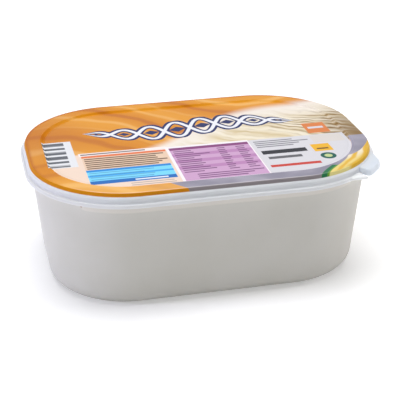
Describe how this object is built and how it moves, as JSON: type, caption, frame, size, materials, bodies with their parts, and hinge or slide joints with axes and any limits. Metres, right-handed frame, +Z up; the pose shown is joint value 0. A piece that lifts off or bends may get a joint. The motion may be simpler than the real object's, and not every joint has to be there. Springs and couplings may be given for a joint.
{
  "type": "ice cream tub",
  "caption": "Shallow oblong food tub with broad rounded corners and drafted walls, shut by a printed push-on lid with a sunk panel and a corner pull tab.",
  "frame": {"origin": "middle of the flat base, on the surface the tub stands on", "axes": "+X along the length, to the right in the picture; -Y towards the front, where the camera is; +Z up"},
  "size_m": [0.19, 0.131, 0.068],
  "materials": {
    "tub_plastic": "satin, slightly cloudy white polypropylene",
    "printed_lid": "white polypropylene with a glossy moulded-in print on the raised top"
  },
  "bodies": {
    "root": {"tub": "tub_plastic", "lid": "printed_lid"}
  },
  "joints": []
}
